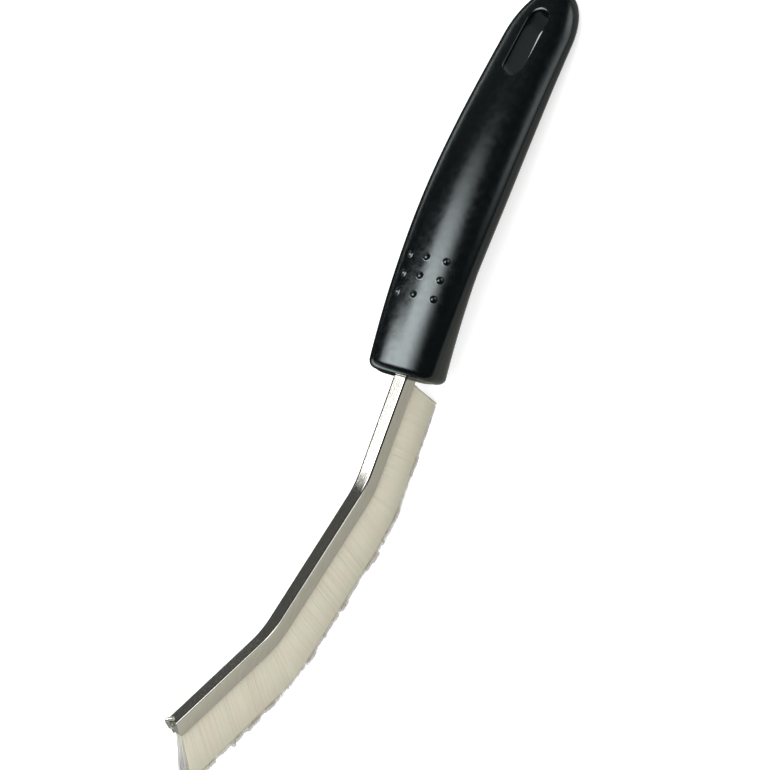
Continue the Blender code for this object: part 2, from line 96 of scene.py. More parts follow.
# Core wire, whose end rises behind the tip and lies over the channel's back
CLEARANCE = 0.0003
WIRE_DIAMETER = 0.0013
WIRE_DEPTH = 0.00215
WIRE_STATIONS = 110
WIRE_SIDES = 14
WIRE_END_STEPS = 5
WIRE_END_SWEEP = math.radians(88)
HOOK_STANDOFF = 0.0007
HOOK_SIDEWAYS = 0.0010
HOOK_TOP = 0.0011
HOOK_ROUNDING = 0.0008
HOOK_LENGTH = 0.0020
HOOK_TURN = math.radians(60)
HOOK_STEPS = 12

# Fill: filaments, folded round the wire in the brush and drawn from just under it; strays are
# shares of the pitch, and then degrees
FILL_HEEL = -0.0001
FILL_HALF_WIDTH = 0.00150
FILL_SETBACK = 0.0009
TRIM_HEEL = 0.0166
TRIM_TIP = 0.0181
TRIM_CHANGE = (0.030, 0.048)
HEEL_LEAN = math.radians(9.0)
TIP_SPLAY = math.radians(9.0)
SIDE_SPREAD = math.radians(3.0)
LEAN_REACH = 0.012
FILAMENT_RADIUS = 0.00015
FILAMENT_PITCH = 0.00022
FILAMENT_ROWS = 13
FILAMENT_ROOT = 0.0030
FILAMENT_SIDES = 3
FILAMENT_STRAY = (0.3, 0.4)
STRAY_LEAN = 0.07
END_LENGTH = 0.0011

# Trimmed edge: even trim, fine raggedness and lumps that stand out of it
TRIM_SEED = 11
FLUSH = 0.0001
TRIM_ROUGHNESS = 0.00025
LUMP_WIDTHS = (0.0014, 0.0042)
LUMP_REACH = 0.0017
LUMP_ROUNDING = 0.0003
LUMP_RARITY = 1.4
FLOOR_ROOM = 0.038

# Loose filaments at the tip and uneven ones at the heel, with strays in degrees
LOOSE_STEPS = 3
LOOSE_LEAN = math.radians(5.0)
LOOSE_RARITY = 1.5
LOOSE_STRAY = 1.5
LOOSE_SHARES = (0.85, 0.98)
LOOSE_THINNESS = 0.8
HEEL_STEPS = 5
HEEL_STRAY = 1.5
HEEL_SHORTFALL = 0.0012

# Close-packed middle of the fill, drawn as a slab
SLAB_HALF_WIDTH = 0.00151
SLAB_STEP = 0.001
SLAB_SHORTFALL = 0.0011
SLAB_INSET = 0.0005
SLAB_EDGE = 0.0003

# Handle: centre line, ends and sections as (share of the length, half width, half thickness)
HANDLE_LENGTH = 0.145
FRONT_DROP = 0.00104
FRONT_SLOPE = 0.1295
HANG_END_DROP = 0.0121
HANG_END_SLOPE = -0.1963
FRONT_ROUNDING = 0.0029
FRONT_DOME = 0.0007
FRONT_DOME_CURVE = 1.6
FRONT_FACE_INSET = 0.0058
HANG_END_ROUNDING = 0.020
HANDLE_SECTIONS = (
    (0.00, 0.0135, 0.00745),
    (0.20, 0.0149, 0.00750),
    (0.45, 0.0157, 0.00770),
    (0.62, 0.0151, 0.00710),
    (0.78, 0.0141, 0.00610),
    (0.90, 0.0134, 0.00540),
    (1.00, 0.0131, 0.00500),
)
HANDLE_SIDES = 240
FACE_STEPS = 7
RIM_STEPS = 12
BODY_STEPS = (24, 80, 90)
HANG_END_STEPS = 32
HANG_END_SWEEP = math.radians(88.5)
SLOPE_STEP = 0.001

# Guard, socket, slot and nubs of the handle
GUARD_LENGTH = 0.040
GUARD_DEPTH = 0.0042
GUARD_INSET = 0.4
GUARD_SQUARENESS = 1.1
GUARD_RISE = 1.15
SOCKET_GAP = 0.00006
MOUTH_DEPTH = 0.004
MOUTH_RELIEF = 0.0016
CUTTER_REACH = 0.004
SLOT_FRONT = 0.1077
SLOT_REAR = 0.1334
SLOT_HALF_WIDTH = 0.0040
SLOT_FLARE = 0.0012
SLOT_SIDE_FLARE = 0.4
SLOT_ARC_STEPS = 16
SLOT_POINT_GAP = 0.0012
SLOT_RIM_STEPS = 8
SLOT_RIM_START = 12.0
SLOT_OVERRUN = (0.002, 0.0008)
NUB_ROWS = 3
NUB_FIRST_ROW = 0.0264
NUB_ROW_PITCH = 0.0064
NUB_COLUMN_PITCH = 0.0074
NUB_MARGIN = 0.0016
NUB_RADIUS = 0.00118
NUB_SIDE_STRETCH = 1.12
NUB_HEIGHT = 0.00060
NUB_FLATNESS = 0.8
NUB_EDGE = 4

# Shading: angles in degrees above which edges stay sharp, and limits for smooth normals
CHANNEL_SHARP = 50
WIRE_SHARP = 45
NEVER_SHARP = 180
NORMAL_TOLERANCE = 0.00003
NORMAL_AGREEMENT = 0.5

# Colours and finishes
PLASTIC = (0.0013, 0.0022, 0.0027)
PLASTIC_TINT = (0.87, 0.98, 1.0, 1.0)
PLASTIC_IOR = 1.58
PLASTIC_ROUGHNESS = (0.17, 0.24)
STEEL = (0.68, 0.67, 0.61)
STEEL_BRIGHT = (0.69, 0.68, 0.62, 1.0)
STEEL_STAINED = (0.64, 0.63, 0.57, 1.0)
CHANNEL_FINISH = (0.13, 1.0)
WIRE_FINISH = (0.32, 0.8)
NYLON_PALE = (0.508, 0.495, 0.391)
NYLON_WARM = (0.518, 0.477, 0.384)
# Cut ends: their own greyer tone plus painted light, much paler than the nylon to lift the shade
# among them
CUT_END_PAINTED_PALE = (0.76, 0.75, 0.72)
CUT_END_PAINTED_DULL = (0.70, 0.69, 0.67)
NYLON_ROUGHNESS = 0.45

# Stage and light
FLOOR_SIZE = 8.0
FLOOR_COLOUR = (0.86, 0.86, 0.855, 1.0)
FLOOR_GLOW = 0.44
# Floor tints for mirrored rays: warm elsewhere, cool in the painted shade under and behind the
# brush
MIRRORED_WARM = (1.0, 0.98, 0.87, 1.0)
MIRRORED_PAINTED_SHADE = (0.87, 0.98, 0.97, 1.0)
WHITE = (1.0, 1.0, 1.0, 1.0)
WORLD_FILL = 0.90
DARK_LEVEL = 0.03
BOX_LEVEL = 8.6
STRIP_LEVEL = 1.7
TIP_SIDE_LEVEL = 0.45
HANG_SIDE_LEVEL = 0.06
KEY_PLACE = (-0.14, -0.45, 0.98)
KEY_SIZE = 0.7
KEY_POWER = 6.5


# Node materials

class Nodes:
    """Short way to add and join shader nodes."""

    def __init__(self, tree):
        self.tree = tree
        tree.nodes.clear()

    def add(self, kind, **inputs):
        """Add a node; inputs go by name or as i0, i1 by number, with values or outputs."""
        node = self.tree.nodes.new(kind)
        for key, value in inputs.items():
            numbered = key[0] == "i" and key[1:].isdigit()
            self.put(node.inputs[int(key[1:]) if numbered else key.replace("_", " ")], value)
        return node

    def put(self, socket, value):
        """Set or join one input."""
        if isinstance(value, bpy.types.NodeSocket):
            self.tree.links.new(value, socket)
        else:
            socket.default_value = value

    def math(self, operation, first, second=0.0, third=0.0):
        """Result of a math node."""
        node = self.add("ShaderNodeMath", i0=first, i1=second, i2=third)
        node.operation = operation
        return node.outputs[0]

    def times(self, product, *others):
        """Product of several values."""
        for other in others:
            product = self.math("MULTIPLY", product, other)
        return product

    def ramp(self, value, start, end, low=0.0, high=1.0):
        """Smooth step of a value from low to high."""
        node = self.tree.nodes.new("ShaderNodeMapRange")
        node.interpolation_type = "SMOOTHSTEP"
        for socket, given in zip(node.inputs[:5], (value, start, end, low, high)):
            self.put(socket, given)
        return node.outputs[0]

    def between(self, value, start, end, soft):
        """One inside a range, falling to nothing over a soft edge."""
        rise = self.ramp(value, start - soft, start + soft)
        fall = self.ramp(value, end - soft, end + soft, 1.0, 0.0)
        return self.times(rise, fall)

    def noise(self, scale, detail=2.0, stretch=(1.0, 1.0, 1.0)):
        """Noise over the object's own coordinates."""
        place = self.add("ShaderNodeTexCoord")
        mapped = self.add("ShaderNodeMapping", Vector=place.outputs["Object"], Scale=stretch)
        made = self.add("ShaderNodeTexNoise", Vector=mapped.outputs[0], Scale=scale, Detail=detail)
        return made.outputs[0]

    def mix(self, factor, first, second):
        """Mix of two colours, whose sockets are inputs 6 and 7 and output 2."""
        node = self.tree.nodes.new("ShaderNodeMix")
        node.data_type = "RGBA"
        self.put(node.inputs[0], factor)
        self.put(node.inputs[6], first)
        self.put(node.inputs[7], second)
        return node.outputs[2]


def principled(name, colour, roughness, metallic):
    """New material with one Principled shader; returns material, nodes and shader."""
    material = bpy.data.materials.new(name)
    material.use_nodes = True
    nodes = Nodes(material.node_tree)
    shader = nodes.add("ShaderNodeBsdfPrincipled", Base_Color=(*colour, 1.0),
                       Roughness=roughness, Metallic=metallic)
    output = nodes.add("ShaderNodeOutputMaterial")
    nodes.tree.links.new(shader.outputs[0], output.inputs[0])
    return material, nodes, shader


def bump(nodes, shader, height, strength, distance):
    """Join a height to the shader's normal."""
    made = nodes.add("ShaderNodeBump", Strength=strength, Distance=distance, Height=height)
    nodes.put(shader.inputs["Normal"], made.outputs[0])


def handle_material():
    """Glossy black moulded plastic with a faint waviness."""
    material, nodes, shader = principled("black_plastic", PLASTIC, PLASTIC_ROUGHNESS[0], 0.0)
    shader.inputs["IOR"].default_value = PLASTIC_IOR
    shader.inputs["Specular Tint"].default_value = PLASTIC_TINT
    broad = nodes.noise(140.0, 2.0)
    fine = nodes.noise(900.0, 2.0)
    height = nodes.math("MULTIPLY_ADD", fine, 0.12, broad)
    bump(nodes, shader, height, 0.10, 0.0006)
    sheen = nodes.ramp(nodes.noise(420.0, 3.0), 0.3, 0.7, *PLASTIC_ROUGHNESS)
    nodes.put(shader.inputs["Roughness"], sheen)
    return material


def steel_material(name, roughness, metallic):
    """Bright rolled strip with fine lines along it and light handling marks."""
    material, nodes, shader = principled(name, STEEL, roughness, metallic)
    lines = nodes.noise(2600.0, 3.0, (0.08, 1.0, 1.0))
    grain = nodes.noise(1400.0, 4.0)
    sheen = nodes.ramp(grain, 0.30, 0.70, roughness - 0.02, roughness + 0.03)
    nodes.put(shader.inputs["Roughness"], sheen)
    stain = nodes.ramp(nodes.noise(800.0, 5.0, (0.3, 1.0, 1.0)), 0.35, 0.75)
    nodes.put(shader.inputs["Base Color"], nodes.mix(stain, STEEL_BRIGHT, STEEL_STAINED))
    bump(nodes, shader, lines, 0.06, 0.0002)
    return material


def bristle_material(name, first, second):
    """Nylon in slow patches of two shades, with a faint streak along the filaments."""
    material, nodes, shader = principled(name, first, NYLON_ROUGHNESS, 0.0)
    patch = nodes.ramp(nodes.noise(150.0, 2.0, (1.0, 0.4, 0.6)), 0.35, 0.65)
    streak = nodes.ramp(nodes.noise(700.0, 2.0, (1.0, 0.4, 0.12)), 0.3, 0.7, 0.0, 0.35)
    shade = nodes.math("MAXIMUM", patch, streak)
    colour = nodes.mix(shade, (*first, 1.0), (*second, 1.0))
    nodes.put(shader.inputs["Base Color"], colour)
    return material


# The strip's path

def path_pieces():
    """Straight and bent pieces of the path as (bent, length, turn)."""
    first, second = (BEND_RADIUS * math.tan(angle / 2) for angle in BEND_ANGLES)
    return (
        (False, RUN_LENGTHS[0] - first, 0.0),
        (True, BEND_RADIUS * BEND_ANGLES[0], BEND_ANGLES[0]),
        (False, RUN_LENGTHS[1] - first - second, 0.0),
        (True, BEND_RADIUS * BEND_ANGLES[1], BEND_ANGLES[1]),
        (False, RUN_LENGTHS[2] - second, 0.0),
    )


PATH_END = sum(length for _, length, _ in path_pieces())


def path_frame(distance):
    """Point on the channel's back, direction of travel and direction of the bristles."""
    x, z, heading = 0.0, 0.0, 0.0
    left = distance
    for bent, length, turn in path_pieces():
        run = min(left, length)
        if left > 0 and bent:
            swept = turn * run / length
            x -= BEND_RADIUS * (math.sin(heading + swept) - math.sin(heading))
            z += BEND_RADIUS * (math.cos(heading) - math.cos(heading + swept))
            heading += swept
        else:
            x -= run * math.cos(heading)
            z += run * math.sin(heading)
        left -= run
        if left <= 0:
            break
    onward = np.array((-math.cos(heading), 0.0, math.sin(heading)))
    downward = np.array((-math.sin(heading), 0.0, -math.cos(heading)))
    return np.array((x, 0.0, z)), onward, downward


def bend_middles():
    """Distances of the two bends' middles."""
    reached, middles = 0.0, []
    for bent, length, _ in path_pieces():
        if bent:
            middles.append(reached + length / 2)
        reached += length
    return middles


# Meshes

def new_piece(name, vertices, faces, material):
    """Mesh object from points in the strip's frame, laid down as the part lies."""
    mesh = bpy.data.meshes.new(name)
    mesh.from_pydata([tuple(v) for v in vertices], [], faces)
    mesh.transform(REST)
    mesh.materials.append(material)
    piece = bpy.data.objects.new(name, mesh)
    bpy.context.scene.collection.objects.link(piece)
    return piece


def outward(piece):
    """Point a closed mesh's faces outward."""
    bm = bmesh.new()
    bm.from_mesh(piece.data)
    bmesh.ops.recalc_face_normals(bm, faces=bm.faces)
    bm.to_mesh(piece.data)
    bm.free()


def smooth(piece, angle):
    """Smooth shading with sharp edges above an angle in degrees."""
    piece.data.shade_smooth()
    piece.data.set_sharp_from_angle(angle=math.radians(angle))


def ring_faces(ring_count, size):
    """Faces that join equal rings, with flat ends."""
    faces = []
    for i in range(ring_count - 1):
        for j in range(size):
            k = (j + 1) % size
            faces.append((i * size + j, i * size + k, (i + 1) * size + k, (i + 1) * size + j))
    faces.append(tuple(range(size)))
    faces.append(tuple((ring_count - 1) * size + j for j in range(size)))
    return faces


# Channel

def channel_outline():
    """U section with rounded back corners and rounded feet, as (across, depth)."""
    half = CHANNEL_WIDTH / 2
    inside = half - SHEET
    foot = SHEET / 2
    side = []
    for step in range(FOOT_STEPS + 1):
        angle = math.radians(180) * (1 - step / FOOT_STEPS)
        depth = CHANNEL_HEIGHT - foot + foot * math.sin(angle)
        side.append((half - foot + foot * math.cos(angle), depth))
    for step in range(CORNER_STEPS + 1):
        angle = math.radians(90) * step / CORNER_STEPS
        across = half - CORNER_RADIUS * (1 - math.cos(angle))
        side.append((across, CORNER_RADIUS * (1 - math.sin(angle))))
    side.append((half - CORNER_RADIUS - FLAT_MARGIN, 0.0))
    mirrored = [(-across, depth) for across, depth in reversed(side)]
    left_corner = [(-inside, SHEET + INNER_CORNER), (-inside + INNER_CORNER, SHEET)]
    right_corner = [(inside - INNER_CORNER, SHEET), (inside, SHEET + INNER_CORNER)]
    return side + mirrored + left_corner + right_corner


def tip_share(distance, reach):
    """Zero up to a place near the strip's end, one at the end."""
    return min(1.0, max(0.0, 1 - (PATH_END - distance) / reach))


def leg_squeeze(distance, depth):
    """Depth of the crimp marks pressed into the legs near the tip."""
    marks = 0.0
    for back in CRIMP_PLACES:
        off = (PATH_END - back - distance) / CRIMP_LENGTH
        low = (depth - CRIMP_DEPTH) / CRIMP_HEIGHT
        marks += math.exp(-off * off - low * low)
    return CRIMP_PRESS * min(marks, 1.0)


def tip_pinch(distance):
    """How far the left and right feet stand in at the tip."""
    share = tip_share(distance, PINCH_REACH) ** PINCH_CURVE
    return LEFT_PINCH * share, RIGHT_PINCH * share


def narrowing(distance):
    """How much narrower each half of the strip is than in the handle."""
    return CHANNEL_NARROWING * max(0.0, distance) / PATH_END


def channel_point(distance, across, depth):
    """Point of the channel's skin, with its crimps, its pinch and its rounded end corners."""
    origin, _, downward = path_frame(distance)
    inward = tip_pinch(distance)[0 if across > 0 else 1] * depth / CHANNEL_HEIGHT
    inward += narrowing(distance)
    across = math.copysign(abs(across) - leg_squeeze(distance, depth), across)
    across -= math.copysign(inward, across)
    if depth > CHANNEL_HEIGHT / 2:
        share = tip_share(distance, TIP_ROUNDING)
        depth -= TIP_ROUNDING * (1 - math.sqrt(1 - share ** 2))
    return origin + downward * depth + ACROSS * across


def add_end_plate(vertices, faces):
    """Thin plate that closes the channel's pinched end."""
    half = CHANNEL_WIDTH / 2 - SHEET / 2 - narrowing(PATH_END)
    low = CHANNEL_HEIGHT - TIP_ROUNDING
    left, right = tip_pinch(PATH_END)
    plate = (
        (-half, SHEET / 2),
        (half, SHEET / 2),
        (half - left * low / CHANNEL_HEIGHT, low),
        (right * low / CHANNEL_HEIGHT - half, low),
    )
    first = len(vertices)
    for distance in (PATH_END - 2 * END_PLATE, PATH_END - END_PLATE):
        origin, _, downward = path_frame(distance)
        for across, depth in plate:
            vertices.append(origin + downward * depth + ACROSS * across)
    faces += [tuple(first + corner for corner in face) for face in ring_faces(2, len(plate))]


def make_channel(material):
    """Fine channel, its legs pinched together and rounded off at the tip."""
    outline = channel_outline()
    length = PATH_END - TIP_ROUNDING + TANG_LENGTH
    stations = [-TANG_LENGTH + length * i / CHANNEL_STATIONS for i in range(CHANNEL_STATIONS)]
    for step in range(TIP_STEPS + 1):
        angle = math.radians(90) * step / TIP_STEPS
        stations.append(PATH_END - TIP_ROUNDING * (1 - math.sin(angle)))
    vertices = [channel_point(distance, *place) for distance in stations for place in outline]
    faces = ring_faces(len(stations), len(outline))
    add_end_plate(vertices, faces)
    piece = new_piece("channel_fine", vertices, faces, material)
    outward(piece)
    smooth(piece, CHANNEL_SHARP)
    return piece


# Core wire

def wire_route():
    """Points of the wire's axis up to its end, which is bent over the channel's back."""
    route = []
    for i in range(WIRE_STATIONS + 1):
        distance = -TANG_LENGTH + (PATH_END + TANG_LENGTH) * i / WIRE_STATIONS
        origin, _, downward = path_frame(distance)
        route.append(origin + downward * WIRE_DEPTH)
    origin, onward, downward = path_frame(PATH_END)
    rise = WIRE_DEPTH + HOOK_TOP
    for step in range(1, HOOK_STEPS + 1):
        angle = math.radians(90) * step / HOOK_STEPS
        out = HOOK_STANDOFF * math.sin(angle)
        up = HOOK_STANDOFF * (1 - math.cos(angle))
        side = ACROSS * HOOK_SIDEWAYS * up / rise
        route.append(origin + downward * (WIRE_DEPTH - up) + onward * out + side)
    start = origin - downward * (HOOK_TOP - HOOK_ROUNDING) + onward * HOOK_STANDOFF
    start = start + ACROSS * HOOK_SIDEWAYS
    gap = start - route[-1]
    route += [route[-1] + gap * share for share in (0.35, 0.7)]
    over = -onward * math.cos(HOOK_TURN) - ACROSS * math.sin(HOOK_TURN)
    for step in range(HOOK_STEPS + 1):
        angle = math.radians(90) * step / HOOK_STEPS
        curve = over * (1 - math.cos(angle)) - downward * math.sin(angle)
        route.append(start + curve * HOOK_ROUNDING)
    top = route[-1]
    return np.array(route + [top + over * HOOK_LENGTH * share for share in (0.5, 1.0)])


def make_wire(material):
    """Core wire with a rounded end."""
    route = wire_route()
    radius = WIRE_DIAMETER / 2
    tangents = np.gradient(route, axis=0)
    tangents /= np.linalg.norm(tangents, axis=1)[:, None]
    stations = [(point, tangent, radius) for point, tangent in zip(route, tangents)]
    end_point, end_tangent, _ = stations.pop()
    base = end_point - end_tangent * radius
    for step in range(WIRE_END_STEPS + 1):
        angle = WIRE_END_SWEEP * step / WIRE_END_STEPS
        place = base + end_tangent * radius * math.sin(angle)
        stations.append((place, end_tangent, radius * math.cos(angle)))
    vertices = []
    side = np.cross(stations[0][1], ACROSS)
    for point, tangent, size in stations:
        side = side - tangent * np.dot(side, tangent)
        side /= np.linalg.norm(side)
        other = np.cross(side, tangent)
        for j in range(WIRE_SIDES):
            angle = 2 * math.pi * j / WIRE_SIDES
            vertices.append(point + size * (side * math.cos(angle) + other * math.sin(angle)))
    faces = ring_faces(len(stations), WIRE_SIDES)
    piece = new_piece("core_wire_fine", vertices, faces, material)
    outward(piece)
    smooth(piece, WIRE_SHARP)
    return piece


# Bristles

def trim_length(distance):
    """Length of the filaments beyond the channel's mouth."""
    start, end = TRIM_CHANGE
    share = min(1.0, max(0.0, (distance - start) / (end - start)))
    return TRIM_HEEL + (TRIM_TIP - TRIM_HEEL) * share


def lean(distance):
    """Lean along the strip at both ends of the fill."""
    from_heel = max(0.0, 1 - (distance - FILL_HEEL) / LEAN_REACH)
    from_tip = max(0.0, 1 - (PATH_END - distance) / LEAN_REACH)
    return HEEL_LEAN * from_heel ** 2 + TIP_SPLAY * from_tip ** 2


def trim_lumps(dice):
    """Lumps of the trimmed edge as (start, end, share of the reach)."""
    lumps = []
    start = FILL_HEEL
    while start < PATH_END:
        end = start + dice.uniform(*LUMP_WIDTHS)
        lumps.append((start, end, dice.random() ** LUMP_RARITY))
        start = end
    return lumps


def lump_height(lumps, distance):
    """How far the edge stands out here beyond the even trim."""
    room = min(LUMP_REACH, FLOOR_ROOM * max(0.0, distance))
    for start, end, share in lumps:
        if start <= distance < end:
            off = abs(2 * (distance - start) / (end - start) - 1)
            return room * share - LUMP_ROUNDING * off ** 3
    return 0.0


def leaning(distance, tilt, spread):
    """Direction of a filament that leans along the strip and across it."""
    _, onward, downward = path_frame(distance)
    return downward * math.cos(tilt) + onward * math.sin(tilt) + ACROSS * math.tan(spread)


def filament_base(distance, share):
    """Points of a filament at its root and at the channel's mouth."""
    origin, _, downward = path_frame(distance)
    left, right = tip_pinch(distance)
    low, high = right - FILL_HALF_WIDTH, FILL_HALF_WIDTH - left
    sideways = (low + high) / 2 + share * (high - low) / 2
    root = origin + downward * FILAMENT_ROOT + ACROSS * share * FILL_HALF_WIDTH
    return root, origin + downward * CHANNEL_HEIGHT + ACROSS * sideways


def add_filament(vertices, faces, points, radius):
    """Filament through some points, open at its root; returns the numbers of its faces."""
    base, first_face = len(vertices), len(faces)
    along = points[-1] - points[0]
    along /= np.linalg.norm(along)
    side = np.cross(along, ACROSS)
    side /= np.linalg.norm(side)
    other = np.cross(side, along)
    for point in points:
        for j in range(FILAMENT_SIDES):
            angle = math.radians(360 / FILAMENT_SIDES * j)
            vertices.append(point + radius * (side * math.cos(angle) + other * math.sin(angle)))
    last = base + FILAMENT_SIDES * (len(points) - 1)
    for ring in range(base, last, FILAMENT_SIDES):
        after = ring + FILAMENT_SIDES
        for j in range(FILAMENT_SIDES):
            k = (j + 1) % FILAMENT_SIDES
            faces.append((ring + j, ring + k, after + k, after + j))
    faces.append(tuple(last + j for j in range(FILAMENT_SIDES)))
    return list(range(first_face, len(faces)))


def add_slab(vertices, faces, start, end):
    """Close-packed middle of the fill, inside the filaments that can be told apart."""
    low = max(start, FILL_HEEL + SLAB_INSET)
    high = min(end, PATH_END - FILL_SETBACK - SLAB_INSET)
    count = round((high - low) / SLAB_STEP)
    first = len(vertices)
    for i in range(count + 1):
        distance = low + (high - low) * i / count
        origin, _, downward = path_frame(distance)
        length = trim_length(distance) - SLAB_SHORTFALL
        mouth = origin + downward * CHANNEL_HEIGHT
        foot = mouth + leaning(distance, lean(distance), 0.0) * length
        wide = SLAB_HALF_WIDTH * (1 + length * math.tan(SIDE_SPREAD) / FILL_HALF_WIDTH)
        left, right = tip_pinch(distance)
        corners = (
            mouth + ACROSS * (right - SLAB_HALF_WIDTH),
            mouth + ACROSS * (SLAB_HALF_WIDTH - left),
            foot + ACROSS * wide,
            foot - ACROSS * wide,
        )
        for corner, other in ((0, 3), (0, 1), (1, 0), (1, 2), (2, 1), (2, 3), (3, 2), (3, 0)):
            edge = corners[other] - corners[corner]
            vertices.append(corners[corner] + edge * SLAB_EDGE / np.linalg.norm(edge))
    faces += [tuple(first + corner for corner in face) for face in ring_faces(count + 1, 8)]


def make_stretch(name, limits, dice, lumps, materials):
    """One stretch of the fill: its filaments, some of them uneven or loose, and the slab.

    The cut end of a filament is its last span and its cap, in a paler colour that is partly painted
    light lifting the shade among the ends; a loose one is painted pale all over.
    """
    start, end = limits
    finish = min(end, PATH_END - FILL_SETBACK)
    count = round((finish - start) / FILAMENT_PITCH)
    onward_stray, sideways_stray = FILAMENT_STRAY
    cut_end = slice(-1 - FILAMENT_SIDES, None)
    vertices, faces, end_faces = [], [], []
    for i in range(count):
        for row in range(FILAMENT_ROWS):
            place = i + 0.5 + dice.uniform(-onward_stray, onward_stray)
            distance = start + (finish - start) * place / count
            place = row + 0.5 + dice.uniform(-sideways_stray, sideways_stray)
            share = place / FILAMENT_ROWS * 2 - 1
            tilt = lean(distance) + math.radians(dice.gauss(0.0, STRAY_LEAN))
            spread = SIDE_SPREAD * share + math.radians(dice.gauss(0.0, STRAY_LEAN))
            length = trim_length(distance) + FLUSH + lump_height(lumps, distance)
            length -= TRIM_ROUGHNESS * dice.random() ** 2
            if name == "heel" and i < HEEL_STEPS:
                tilt += math.radians(dice.gauss(0.0, HEEL_STRAY))
                length -= HEEL_SHORTFALL * dice.random() ** 2
            root, mouth = filament_base(distance, share)
            along = leaning(distance, tilt, spread)
            points = (root, mouth, mouth + along * (length - END_LENGTH), mouth + along * length)
            # Last span and cap take the cut-end colour, which is partly painted light
            end_faces += add_filament(vertices, faces, points, FILAMENT_RADIUS)[cut_end]
            if name == "tip" and i >= count - LOOSE_STEPS:
                tilt += LOOSE_LEAN * dice.random() ** LOOSE_RARITY
                spread += math.radians(dice.gauss(0.0, LOOSE_STRAY))
                along = leaning(distance, tilt, spread)
                points = (root, mouth, mouth + along * length * dice.uniform(*LOOSE_SHARES))
                # A loose filament takes the cut-end colour all over: painted light lifting its
                # shade
                end_faces += add_filament(vertices, faces, points, FILAMENT_RADIUS * LOOSE_THINNESS)
    add_slab(vertices, faces, start, end)
    piece = new_piece("filaments_" + name, vertices, faces, materials[0])
    piece.data.materials.append(materials[1])
    for index in end_faces:
        piece.data.polygons[index].material_index = 1
    smooth(piece, NEVER_SHARP)
    return piece


def make_bristles(*materials):
    """The three stretches of the fill by name, in two materials: filaments and cut ends."""
    dice = random.Random(TRIM_SEED)
    lumps = trim_lumps(dice)
    first, second = bend_middles()
    stretches = {"heel": (FILL_HEEL, first), "middle": (first, second), "tip": (second, PATH_END)}
    return {
        name: make_stretch(name, limits, dice, lumps, materials)
        for name, limits in stretches.items()
    }


# Handle

def hermite(t, start, start_slope, end, end_slope):
    """Cubic through two values with two slopes."""
    blend = t * t * (3 - 2 * t)
    return (
        start + (end - start) * blend
        + start_slope * t * (1 - t) ** 2
        - end_slope * t * t * (1 - t)
    )


SECTION_PLACES = np.array([row[0] for row in HANDLE_SECTIONS]) * HANDLE_LENGTH
SECTION_SIZES = [np.array([row[column] for row in HANDLE_SECTIONS]) for column in (1, 2)]
SECTION_SLOPES = [np.gradient(values, SECTION_PLACES) for values in SECTION_SIZES]
CENTRE_LINE = (
    -FRONT_DROP,
    FRONT_SLOPE * HANDLE_LENGTH,
    -HANG_END_DROP,
    HANG_END_SLOPE * HANDLE_LENGTH,
)


def handle_size(along):
    """Half width and half thickness of the moulding."""
    index = int(np.clip(np.searchsorted(SECTION_PLACES, along) - 1, 0, len(SECTION_PLACES) - 2))
    span = SECTION_PLACES[index + 1] - SECTION_PLACES[index]
    t = (along - SECTION_PLACES[index]) / span
    sizes = []
    for values, slopes in zip(SECTION_SIZES, SECTION_SLOPES):
        ends = (values[index], slopes[index] * span, values[index + 1], slopes[index + 1] * span)
        sizes.append(hermite(t, *ends))
    past = max(0.0, (along - (HANDLE_LENGTH - HANG_END_ROUNDING)) / HANG_END_ROUNDING)
    past = min(past, 1.0)
    return sizes[0] * math.sqrt(1 - past ** 2), sizes[1] * (1 - past ** 4) ** 0.25


def handle_frame(along):
    """Point on the centre line and the direction out of the back."""
    t = along / HANDLE_LENGTH
    rise = hermite(t + SLOPE_STEP, *CENTRE_LINE) - hermite(t - SLOPE_STEP, *CENTRE_LINE)
    slope = rise / (2 * SLOPE_STEP * HANDLE_LENGTH)
    out = np.array((-slope, 0.0, 1.0)) / math.hypot(slope, 1.0)
    return np.array((along, 0.0, hermite(t, *CENTRE_LINE))), out


def handle_point(along, sideways, height):
    """Point beside and above the centre line."""
    centre, out = handle_frame(along)
    return centre + out * height + ACROSS * sideways


def skin_height(along, sideways):
    """Height of the back over the centre line."""
    width, thickness = handle_size(along)
    return thickness * math.sqrt(max(0.0, 1 - (sideways / width) ** 2))


def nub_lift(along, sideways):
    """Height of the grip nubs over the skin."""
    row = min(NUB_ROWS - 1, max(0, round((along - NUB_FIRST_ROW) / NUB_ROW_PITCH)))
    column = min(1, max(-1, round(sideways / NUB_COLUMN_PITCH)))
    off_row = along - (NUB_FIRST_ROW + NUB_ROW_PITCH * row)
    off_side = (sideways - NUB_COLUMN_PITCH * column) * (NUB_SIDE_STRETCH if column else 1.0)
    share = (off_row ** 2 + off_side ** 2) / NUB_RADIUS ** 2
    if share >= 1:
        return 0.0
    return NUB_HEIGHT * (1 - share) ** NUB_FLATNESS * min(1.0, NUB_EDGE * (1 - share))


def handle_ring(along, inset):
    """Oval ring across the moulding."""
    width, thickness = handle_size(along)
    guard = max(0.0, 1 - along / GUARD_LENGTH) ** GUARD_RISE
    ring = []
    for i in range(HANDLE_SIDES):
        angle = 2 * math.pi * i / HANDLE_SIDES
        across, up = math.sin(angle), math.cos(angle)
        depth = thickness - inset
        lift = 0.0
        if up < 0:
            power = 2 / (2 + GUARD_SQUARENESS * guard)
            across = math.copysign(abs(across) ** power, across)
            up = -abs(up) ** power
            depth += (GUARD_DEPTH - GUARD_INSET * inset) * guard
        else:
            lift = nub_lift(along, width * across)
        point = handle_point(along, (width - inset) * across, depth * up)
        if lift:
            out = handle_frame(along)[1] * up / thickness + ACROSS * (across / width)
            point = point + out / np.linalg.norm(out) * lift
        ring.append(point)
    return ring


